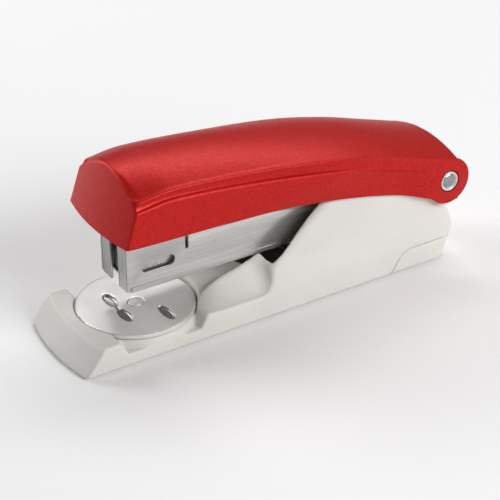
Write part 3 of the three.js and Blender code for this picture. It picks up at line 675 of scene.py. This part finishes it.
def base_cover_field(x, y, z):
    """The base cover: the outside, less all that is cut from it, with two screw bosses."""
    radius = np.hypot(x - DISC_X, y)
    pocket_radius, pocket_top = ROUND_POCKET
    cuts = [
        (notch_field(x, y, z), 0.8),
        (disc_seat(radius, z), 0.35),
        (nose_pocket(x, y, z), 0.5),
        (both(radius - pocket_radius, z - pocket_top, 0.5), 0.5),
        (box_field(x, y, z, *MIDDLE_SPACE), 0.5),
        (magazine_well(x, y, z), 1.6),
        (housing_hollow(x, y), 0.6),
        (box_field(x, y, z, *REAR_SPACE), 0.5),
        (box_field(x, y, z, *HANDLE_SLOT), 0.5),
        (heel_zone(x, y, z, SEAM), 0.3),
        (from_pivot(x, z) - PIN_HOLE, 0.3),
    ]
    body = base_outer(x, y, z)
    for tool, rounding in cuts:
        body = without(body, tool, rounding)
    for place in SCREW_PLACES:
        off = np.hypot(x - place, y)
        boss = both(off - BOSS_RADIUS, np.abs(z - BOSS_MIDDLE) - BOSS_HALF, 0.4)
        body = either(body, boss, 0.4)
        body = without(body, both(off - SCREW_HOLE, z - SCREW_HOLE_TOP, 0.3), 0.3)
    return without(body, both(radius - RIVET_HOLE, z - 12, 0.3), 0.3)


def rear_heel_field(x, y, z):
    """The rear heel, flush with the base's outside."""
    return both(base_outer(x, y, z), heel_zone(x, y, z, 0), 0.35)


def make_base():
    """The base cover and the rear heel, each within its own limits."""
    low, high = (-69.5, -18.2, 0.4), (68, 18.2, 33)
    cover = skin("base_cover_moulding", base_cover_field, low, high, BASE_PITCH)
    dress(thinned(cover, 0.5), "base", "base_plastic", "base_cover", angle=50)
    low, high = (38, -18.2, 0.4), (68, 18.2, 9)
    heel = skin("rear_heel_moulding", rear_heel_field, low, high, BASE_PITCH)
    dress(thinned(heel, 0.5), "base", "base_plastic", "rear_heel", angle=50)


# ---------------------------------------------------------------- anvil disc

def bowl(x, y, z, centre_x, centre_y, half_x, half_y, depth):
    """A boat-shaped pocket, sunk from the disc's top."""
    u, v, w = (x - centre_x) / half_x, (y - centre_y) / half_y, (z - DISC_TOP) / depth
    plan = np.sqrt(u * u + v * v)
    return ((plan ** 3 + np.abs(w) ** 3) ** (1 / 3) - 1) * min(half_x, depth)


def disc_field(x, y, z):
    """The disc, with pockets on both sides of the middle and a dished hole for the rivet."""
    radius = np.hypot(x - DISC_X, y)
    middle = DISC_TOP - DISC_THICKNESS / 2
    body = both(radius - DISC_RADIUS, np.abs(z - middle) - DISC_THICKNESS / 2, 0.35)
    for pocket in POCKETS:
        body = without(body, bowl(x, np.abs(y), z, *pocket), 0.15)
    body = without(body, bowl(x, y, z, *MIDDLE_POCKET), 0.15)
    dish_radius, dish_depth = RIVET_DISH
    dish = both(radius - dish_radius, DISC_TOP - dish_depth - z, 0.2)
    return without(without(body, dish, 0.15), radius - RIVET_HOLE, 0.15)


def make_anvil():
    """The disc, with painted shade in its pockets as darker steel, and the rivet through it."""
    low = (DISC_X - DISC_RADIUS, -DISC_RADIUS, DISC_TOP - DISC_THICKNESS)
    high = (DISC_X + DISC_RADIUS, DISC_RADIUS, DISC_TOP)
    disc = skin("anvil_disc", disc_field, low, high, DISC_PITCH)
    dress(thinned(disc, 0.6), "anvil", "bright_nickel", "anvil_plate", angle=30)
    # painted shade: faces down in the pockets take the darker spring steel
    disc.data.materials.append(FINISH["spring_steel"])
    for face in disc.data.polygons:
        depth = DISC_TOP - face.center.z / MM
        radius = math.hypot(face.center.x / MM - DISC_X, face.center.y / MM)
        face.material_index = int(3 < radius < 15 and 0.25 < depth < DISC_THICKNESS - 0.1)
    top = DISC_TOP
    rivet = [(0, 1), (2.1, 1), (2.1, 1.5), (1.25, 1.5), (1.25, top - 0.6), (2.2, top - 0.6),
             *arc((2.05, top - 0.15), 0.15, 0, 90, 4), (1.2, top + 0.02), (0, top + 0.03)]
    piece = turned("anvil_rivet_head", rivet, (DISC_X, 0, 0), "Z")
    dress(piece, "base", "bright_nickel", "anvil_rivet")


# ---------------------------------------------------------------- handle

CREST = curve([(-58, 54.4), (-48, 55.2), (-34, 55.6), (-11, 53.9), (17, 49.5), (35, 45.5),
               (49, 41.3), (64.7, 36.6)])
DOME_EDGE = curve([(-58, 49.6), (-47, 50.4), (-36, 51.6), (-8.4, 49.6), (17, 46.3), (36, 42),
                   (49.3, 38), (64.7, 33.3)])
DOME_HALF = curve([(-58, 15.2), (-8.4, 15.3), (28, 16.4), (64.7, 16.5)])
PANEL_TOP = curve([(-58, 47), (-48.5, 48), (-36.6, 49.2), (-9, 46.6), (17, 42.6), (36, 38.6),
                   (64.7, 30)])
BOTTOM = curve([(-58, 37.9), (-44.7, 37.1), (-21.7, 36.5), (0, 35), (22.7, 31.6), (44, 26.5),
                (61, 20.2)])
DIAGONAL = curve([(-25, 37.4), (-4, 38.6), (11.5, 39.5), (25, 41.2), (34, 43.2)])


def dome_rows(crest, edge_y, edge_z):
    """Rows of (y, z) over the dome, from its edge to the crest."""
    rows = []
    for t in np.linspace(0, 1, DOME_STEPS + 1)[1:]:
        y = edge_y * (1 - t)
        rows.append((y, crest - (crest - edge_z) * (y / edge_y) ** 2))
    return rows


def outer_half(x):
    """Half a section of the handle at each x, from the lower lip to the crest: rows of (y, z)."""
    x = np.asarray(x, float)
    fade = 1 - (1 - ramp(x, 6, 34)) * (0.25 + 0.75 * ramp(x, -55, -42))
    bottom, panel, crest = BOTTOM(x), PANEL_TOP(x), CREST(x)
    edge_y, edge_z = DOME_HALF(x), DOME_EDGE(x)
    shoulder = HANDLE_HALF - 0.15 - 0.2 * fade
    step = 1.1 * (1 - fade) + 0.05
    ledge = 0.75 * (1 - fade) + 0.05
    roll, lip = ROLL_RADIUS, LIP_RADIUS
    tuck_reach = TUCK_DEPTH * ramp(x, -24, 0) * (1 - ramp(x, 42, 54))
    rows = []
    for t in np.linspace(0, 1, PANEL_STEPS):
        z = bottom + (panel - roll - bottom) * t
        below = DIAGONAL(x) - z
        tuck = tuck_reach * np.tanh(TUCK_SLOPE * (np.sqrt(below * below + 0.3) + below) / 2)
        rows.append((HANDLE_HALF + (shoulder - HANDLE_HALF) * t * t - tuck, z))
    for t in np.linspace(0, 1, ROLL_STEPS + 1)[1:]:
        angle = t * math.pi / 2
        rows.append((shoulder - step * (1 - math.cos(angle)), panel - roll + roll * math.sin(angle)))
    band_low, band_high = shoulder - step, edge_y + ledge
    for t in np.linspace(0, 1, BAND_STEPS + 1)[1:]:
        sag = 0.2 * (1 - fade) * math.sin(math.pi * t)
        rows.append((band_low + (band_high - band_low) * t - sag,
                     panel + (edge_z - lip - panel) * t))
    for t in np.linspace(0, 1, LEDGE_STEPS + 1)[1:]:
        angle = t * math.pi / 2
        rows.append((band_high - ledge * (1 - math.cos(angle)), edge_z - lip + lip * math.sin(angle)))
    rows += dome_rows(crest, edge_y, edge_z)
    return [(y + 0 * x, z + 0 * x) for y, z in rows]


def inner_half(x):
    """The same for the inside of the wall, with as many rows, and no ledges."""
    x = np.asarray(x, float)
    wall = HANDLE_WALL
    bottom, crest = BOTTOM(x) - 4, CREST(x) - wall
    edge_y, edge_z = DOME_HALF(x) - wall, DOME_EDGE(x) - wall
    upright = PANEL_STEPS + ROLL_STEPS + BAND_STEPS + LEDGE_STEPS
    rows = []
    for t in np.linspace(0, 1, upright):
        lean = np.clip(t * 2 - 1, 0, 1)
        y = HANDLE_HALF - wall + (edge_y - HANDLE_HALF + wall) * lean ** 2
        rows.append((y, bottom + (edge_z - bottom) * t))
    rows += dome_rows(crest, edge_y, edge_z)
    return [(y + 0 * x, z + 0 * x) for y, z in rows]


def front_x(y, z, inset=0.0):
    """X of the bowed, raked front face, or of one set back from it."""
    bow = FRONT_BOW * (y / HANDLE_HALF) ** 2
    return FRONT_X + inset + bow + FRONT_LEAN * (z - FRONT_FOOT_Z)


def corner_radius(row, rows):
    """How softly each row turns into the front face: crisp on the panel and at the crest."""
    panel_end = PANEL_STEPS + ROLL_STEPS
    dome_start = rows - DOME_STEPS
    if row < panel_end:
        return 0.6
    if row < dome_start:
        return 0.6 + 2.2 * (row - panel_end) / (dome_start - panel_end)
    t = (row - dome_start) / (rows - 1 - dome_start)
    return 2.8 * (1 - t) ** 1.5 + 0.45


def half_skin(half, stations, corner_steps, inset, rear, rounded):
    """Points of half a shell, by row and station: corner, then along the length to the rear."""
    rows = len(half(np.zeros(1)))
    shares = 0.5 * np.linspace(0, 1, stations) + 0.5 * np.linspace(0, 1, stations) ** 1.4
    result = np.zeros((rows, corner_steps + stations, 3))
    for row in range(rows):
        radius = corner_radius(row, rows) if rounded else 0.3
        x0 = FRONT_X
        for _ in range(6):
            y, z = half(np.array([x0]))[row]
            x0 = float(front_x(y, z, inset)[0])
        start = x0 + radius
        xs = start + (rear - start) * shares
        y, z = half(xs)[row]
        result[row, corner_steps:] = np.stack([xs, y, z], 1)
        y0, z0 = float(y[0]), float(z[0])
        tilt = ramp(row, rows - DOME_STEPS - 3, rows - 1) * math.pi / 2
        for k in range(corner_steps):
            turn = k / corner_steps * math.pi / 2
            inward = radius * (1 - math.sin(turn))
            yi = max(y0 - inward * math.cos(tilt), 0.0)
            zi = z0 - inward * math.sin(tilt)
            xi = float(front_x(yi, zi, inset)) + radius * (1 - math.cos(turn))
            result[row, k] = (xi, yi, zi)
    return result


def full_skin(half_points):
    """Both halves of a shell, as rows from one lower lip over the crest to the other."""
    mirrored = half_points[:-1][::-1] * np.array([1, -1, 1])
    return np.concatenate([half_points, mirrored])


def cross_rows(grid, end, columns, inset=None):
    """Straight rows between the two ends of each section row, for the front face or the rear one."""
    half = grid.shape[0] // 2
    rows = []
    for row in range(half):
        left, right = grid[row, end], grid[-1 - row, end]
        across = np.linspace(left[1], right[1], columns)
        z = np.full(columns, (left[2] + right[2]) / 2)
        x = np.full(columns, left[0]) if inset is None else front_x(across, z, inset)
        rows.append(np.stack([x, across, z], 1))
    return np.array(rows), grid[half, end]


def closed_skin(name, half, inset, rear, rounded):
    """A closed solid under a skin: top and sides, bowed front face, flat rear face and underside."""
    stations, corner_steps, columns = 64, 6, 41
    grid = full_skin(half_skin(half, stations, corner_steps, inset, rear, rounded))
    rows, length = grid.shape[:2]
    points = list(grid.reshape(-1, 3))
    faces = grid_faces(rows, length)
    ends = []
    for end, bow in ((0, inset), (-1, None)):
        face, crown = cross_rows(grid, end, columns, bow)
        start = len(points)
        points.extend(face.reshape(-1, 3))
        points.append(crown)
        faces.extend(grid_faces(face.shape[0], columns, start))
        last = start + (face.shape[0] - 1) * columns
        faces.extend([last + k, last + k + 1, len(points) - 1] for k in range(columns - 1))
        ends.append([start + k for k in range(columns)])
    low, far = 0, (rows - 1) * length
    faces.extend([low + k, low + k + 1, far + k + 1, far + k] for k in range(1, length - 2))
    faces.append([*ends[0], far + 1, low + 1])
    faces.append([*ends[1], far + length - 2, low + length - 2])
    obj = add_mesh(name, points, faces)
    edit(obj, lambda work: welded(work, 3e-6, 1e-7))
    return obj


def soft_disc(name, radius, y0, y1, edge=0.4):
    """A round plate across the pivot with softened edges."""
    profile = [(0, y0), *arc((radius - edge, y0 + edge), edge, -90, 0, 5),
               *arc((radius - edge, y1 - edge), edge, 0, 90, 5), (0, y1)]
    return turned(name, profile, (PIVOT_X, 0, PIVOT_Z), "Y", 96)


def bore(name, radius, y0, y1, segments):
    """A plain round tool on the pivot's axis."""
    profile = [(0, y0), (radius, y0), (radius, y1), (0, y1)]
    return turned(name, profile, (PIVOT_X, 0, PIVOT_Z), "Y", segments)


def prism(name, outline, low, high, axis):
    """A straight bar with the given outline: (x, z) points along Y, or (y, z) points along X."""
    if axis == "Y":
        ends = [[(u, end, v) for u, v in outline] for end in (low, high)]
    else:
        ends = [[(end, u, v) for u, v in outline] for end in (low, high)]
    count = len(outline)
    faces = grid_faces(2, count, close_columns=True)
    faces += [list(range(count)), list(range(2 * count - 1, count - 1, -1))]
    obj = add_mesh(name, ends[0] + ends[1], faces)
    edit(obj, lambda work: bmesh.ops.recalc_face_normals(work, faces=work.faces))
    return obj


LUG_TRIM = [(58, 35.2), (60, 34.7), (66, 32.9), (80, 32.9), (80, 45), (58, 45)]
LUG_SLOPE = [(17.52, 29.2), (17.14, 30.6), (16.5, 34.4), (16.5, 45), (30, 45), (30, 29.2)]


def lug(sign, inner_y):
    """One round ear of the handle, trimmed so that it runs smoothly into the shell."""
    y0, y1 = sorted((sign * inner_y, sign * HANDLE_HALF))
    ear = soft_disc("lug", LUG_RADIUS, y0, y1)
    combine(ear, prism("over", LUG_TRIM, -30, 30, "Y"), "DIFFERENCE")
    slope = prism("slope", [(sign * y, z) for y, z in LUG_SLOPE], 50, 80, "X")
    return combine(ear, slope, "DIFFERENCE")


def make_handle():
    """The red shell: outer solid less the cavity, with two lugs, a mouth and the pin's seats."""
    shell = closed_skin("handle_moulding", outer_half, 0, HANDLE_REAR, True)
    cavity = closed_skin("cavity", inner_half, HANDLE_WALL, HANDLE_REAR - HANDLE_WALL, False)
    combine(shell, cavity, "DIFFERENCE")
    inner_y = HANDLE_HALF - HANDLE_WALL
    for sign in (-1, 1):
        combine(shell, lug(sign, inner_y), "UNION")
    high = PIVOT_Z + 1.5
    mouth = prism("mouth", [(50, 0), (80, 0), (80, high), (50, high)], -inner_y, inner_y, "Y")
    combine(shell, mouth, "DIFFERENCE")
    for sign in (-1, 1):
        y0, y1 = sorted((sign * (HANDLE_HALF - 1.2), sign * (HANDLE_HALF + 2)))
        combine(shell, bore("seat", PIN_SEAT, y0, y1, 64), "DIFFERENCE")
    combine(shell, bore("hole", PIN_HOLE, -20, 20, 48), "DIFFERENCE")
    return dress(shell, "handle", "red_paint", "handle_shell", angle=32)


# ---------------------------------------------------------------- pivot pin

def make_pin():
    """The pin with its head on the near side, and the cap on the far side. Both have a dished middle."""
    rim = [*arc((2.95, 17.25), 0.25, 0, 180, 8), (2.62, 17.02), (2.45, 16.98),
           *[(2.3 * math.cos(a), 17.0 + 0.5 * math.sin(a)) for a in np.linspace(0.1, math.pi / 2, 8)]]
    head = [(0, 16.4), (PIN_HEAD, 16.4), *rim]
    head[-1] = (0, head[-1][1])
    for sign, body_name in ((-1, "pivot_pin"), (1, "pivot_pin_cap")):
        profile = [(radius, sign * y) for radius, y in head]
        if sign < 0:
            profile[0:2] = [(0, 16.2), (1.6, 16.2), (1.6, -16.5), (PIN_HEAD, -16.5)]
        piece = turned(body_name + "_turned", profile, (PIVOT_X, 0, PIVOT_Z), "Y")
        dress(piece, "base", "bright_nickel", body_name)
        piece.data.materials.append(FINISH["spring_steel"])
        for face in piece.data.polygons:
            away = math.hypot(face.center.x - PIVOT_X * MM, face.center.z - PIVOT_Z * MM)
            face.material_index = int(away < 2.5 * MM)


# ---------------------------------------------------------------- staples, springs and sheet metal

def make_staples():
    """A stick of separate staples, each a bent wire that lies against the next."""
    top, half, bend, wire = STRIP_TOP, STRIP_HALF, STAPLE_BEND, STAPLE_WIRE
    foot = top - STAPLE_LEG
    outer = [(-half, foot), *arc((-half + bend, top - bend), bend, 180, 90, 4),
             *arc((half - bend, top - bend), bend, 90, 0, 4), (half, foot)]
    inner = [(half - wire, foot), (half - wire, top - wire), (-half + wire, top - wire),
             (-half + wire, foot)]
    ring = outer + inner
    size = len(ring)
    points, faces = [], []
    for i in range(int((STRIP_REAR - STRIP_FRONT) / STAPLE_PITCH)):
        front = STRIP_FRONT + i * STAPLE_PITCH
        rear = front + STAPLE_PITCH - STAPLE_GAP
        start = len(points)
        for x, shrink in ((front, STAPLE_CROWN), (front + STAPLE_TAPER, 0), (rear - STAPLE_TAPER, 0),
                          (rear, STAPLE_CROWN)):
            points.extend((x, y - math.copysign(shrink, y), z - shrink * (z > top - 1)) for y, z in ring)
        faces.extend(grid_faces(4, size, start, close_columns=True))
        faces.append([start + k for k in range(size)][::-1])
        faces.append([start + 3 * size + k for k in range(size)])
    obj = add_mesh("staple_stick", points, faces)
    edit(obj, lambda work: bmesh.ops.recalc_face_normals(work, faces=work.faces))
    dress(obj, "magazine", "staple_wire", "staple_strip", angle=30)


def shorten(spring):
    """Give a spring its own copy of its mesh."""
    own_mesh(spring)


def make_springs():
    """The coil that drives the pusher and the one that lifts the handle."""
    wire = tube("pusher_coil", helix(**PUSHER_COIL), PUSHER_WIRE)
    coil = dress(wire, "magazine", "spring_steel", "pusher_spring")
    shorten(coil)
    wire = tube("handle_coil", helix(**HANDLE_COIL), HANDLE_WIRE)
    coil = dress(wire, "cover", "spring_steel", "handle_spring")
    shorten(coil)


METAL = {                         # CAD piece: body, slot, rounding of its sharp edges
    "magazine_channel": ("magazine", "magazine_steel", 0.12),
    "front_guide": ("magazine", "magazine_steel", 0.12),
    "staple_rail": ("magazine", "zinc_steel", 0.1),
    "pusher_rod": ("magazine", "spring_steel", 0.05),
    "rod_end_block": ("magazine", "black_plastic", 0.2),
    "pusher": ("pusher", "black_plastic", 0.15),
    "magazine_cover": ("cover", "magazine_steel", 0.26),
    "striker_frame": ("handle", "zinc_steel", 0.14),
    "striker_blade": ("handle", "spring_steel", 0.08),
    "blade_rivet_left": ("handle", "spring_steel", 0.08),
    "blade_rivet_right": ("handle", "spring_steel", 0.08),
    "chassis_plate": ("base", "zinc_steel", 0.14),
    "chassis_screw_front": ("base", "zinc_steel", 0.1),
    "chassis_screw_rear": ("base", "zinc_steel", 0.1),
    "anvil_spring_washer": ("base", "spring_steel", 0.05),
    "lift_spring": ("base", "spring_steel", 0.08),
    "front_foot": ("base", "foot_rubber", 0.25),
    "rear_foot": ("base", "foot_rubber", 0.25),
}


# darker copies of the magazine steel, as painted shade on the channel and on the front guide's flange
OWN_FINISH = {"magazine_channel": "trough_steel_painted_shade", "front_guide": "flange_steel_painted_shade"}


def make_metal():
    """The inner pieces: the CAD shapes with softened edges."""
    for node, (body, slot, edge) in METAL.items():
        piece = dress(refined(node, edge), body, slot, node, angle=30, finish=OWN_FINISH.get(node))
        if node == "lift_spring":
            shorten(piece)


# ---------------------------------------------------------------- camera, light and floor

LENS, SENSOR_WIDTH, SHIFT_Y = 106.1, 36, -0.07       # the lens and sensor in millimetres
CAMERA_PLACE = (-0.2076, -0.3258, 0.2410)            # this and all below in metres
CAMERA_AZIMUTH, CAMERA_ELEVATION = 32.34, 29.19
CAMERA_REACH = 20
WORLD_STRENGTH, WORLD_COLOUR = 0.15, (1, 0.995, 0.985, 1)
SOFT_BOXES = [                    # name, place, width, height, power
    ("right_box", (0.29, -0.69, 0.48), 0.6, 0.4, 5.6),
    ("left_box", (-0.50, 0.75, 0.40), 0.5, 0.5, 4.6),
    ("top_box", (0.42, 0.44, 0.78), 0.9, 0.26, 4.0),
]
AIM = (0, 0, 0.03)
FLOOR_HALF = 2
FLOOR_DARK, FLOOR_LIGHT = (0.93, 0.93, 0.93), (0.96, 0.96, 0.96)


def make_camera():
    """The viewpoint: near side, mouth and top, from above the table."""
    data = bpy.data.cameras.new("camera")
    data.lens, data.sensor_width = LENS, SENSOR_WIDTH
    data.shift_y = SHIFT_Y
    data.clip_end = CAMERA_REACH
    camera = bpy.data.objects.new("camera", data)
    azimuth, elevation = math.radians(CAMERA_AZIMUTH), math.radians(CAMERA_ELEVATION)
    back = Vector((-math.sin(azimuth) * math.cos(elevation), -math.cos(azimuth) * math.cos(elevation),
                   math.sin(elevation)))
    camera.location = CAMERA_PLACE
    camera.rotation_euler = back.to_track_quat("Z", "Y").to_euler()
    bpy.context.scene.collection.objects.link(camera)
    bpy.context.scene.camera = camera


def soft_box(name, place, width, height, power):
    """A rectangular light that faces the stapler."""
    data = bpy.data.lights.new(name, "AREA")
    data.shape = "RECTANGLE"
    data.size, data.size_y, data.energy = width, height, power
    light = bpy.data.objects.new(name, data)
    light.location = place
    light.rotation_euler = (Vector(place) - Vector(AIM)).to_track_quat("Z", "Y").to_euler()
    bpy.context.scene.collection.objects.link(light)


def make_studio():
    """Soft light all round, three soft boxes and a plain pale floor."""
    world = bpy.data.worlds.new("studio")
    world.use_nodes = True
    background = world.node_tree.nodes["Background"]
    background.inputs["Color"].default_value = WORLD_COLOUR
    background.inputs["Strength"].default_value = WORLD_STRENGTH
    bpy.context.scene.world = world
    for settings in SOFT_BOXES:
        soft_box(*settings)
    corners = [(-1, -1), (1, -1), (1, 1), (-1, 1)]
    floor = add_mesh("floor", [(x * FLOOR_HALF, y * FLOOR_HALF, 0) for x, y in corners], [(0, 1, 2, 3)],
                     scale=1)
    material, nodes, links, shader = tree_of("pale_floor")
    cloud = noise(nodes, links, scale=3)
    links.new(tint(nodes, links, cloud, FLOOR_DARK, FLOOR_LIGHT), shader.inputs["Base Color"])
    shader.inputs["Roughness"].default_value = 0.9
    floor.data.materials.append(material)
    bpy.context.scene.view_settings.view_transform = "Standard"


# ---------------------------------------------------------------- the stapler

make_camera()
make_studio()
make_base()
make_anvil()
make_handle()
make_pin()
make_staples()
make_springs()
make_metal()
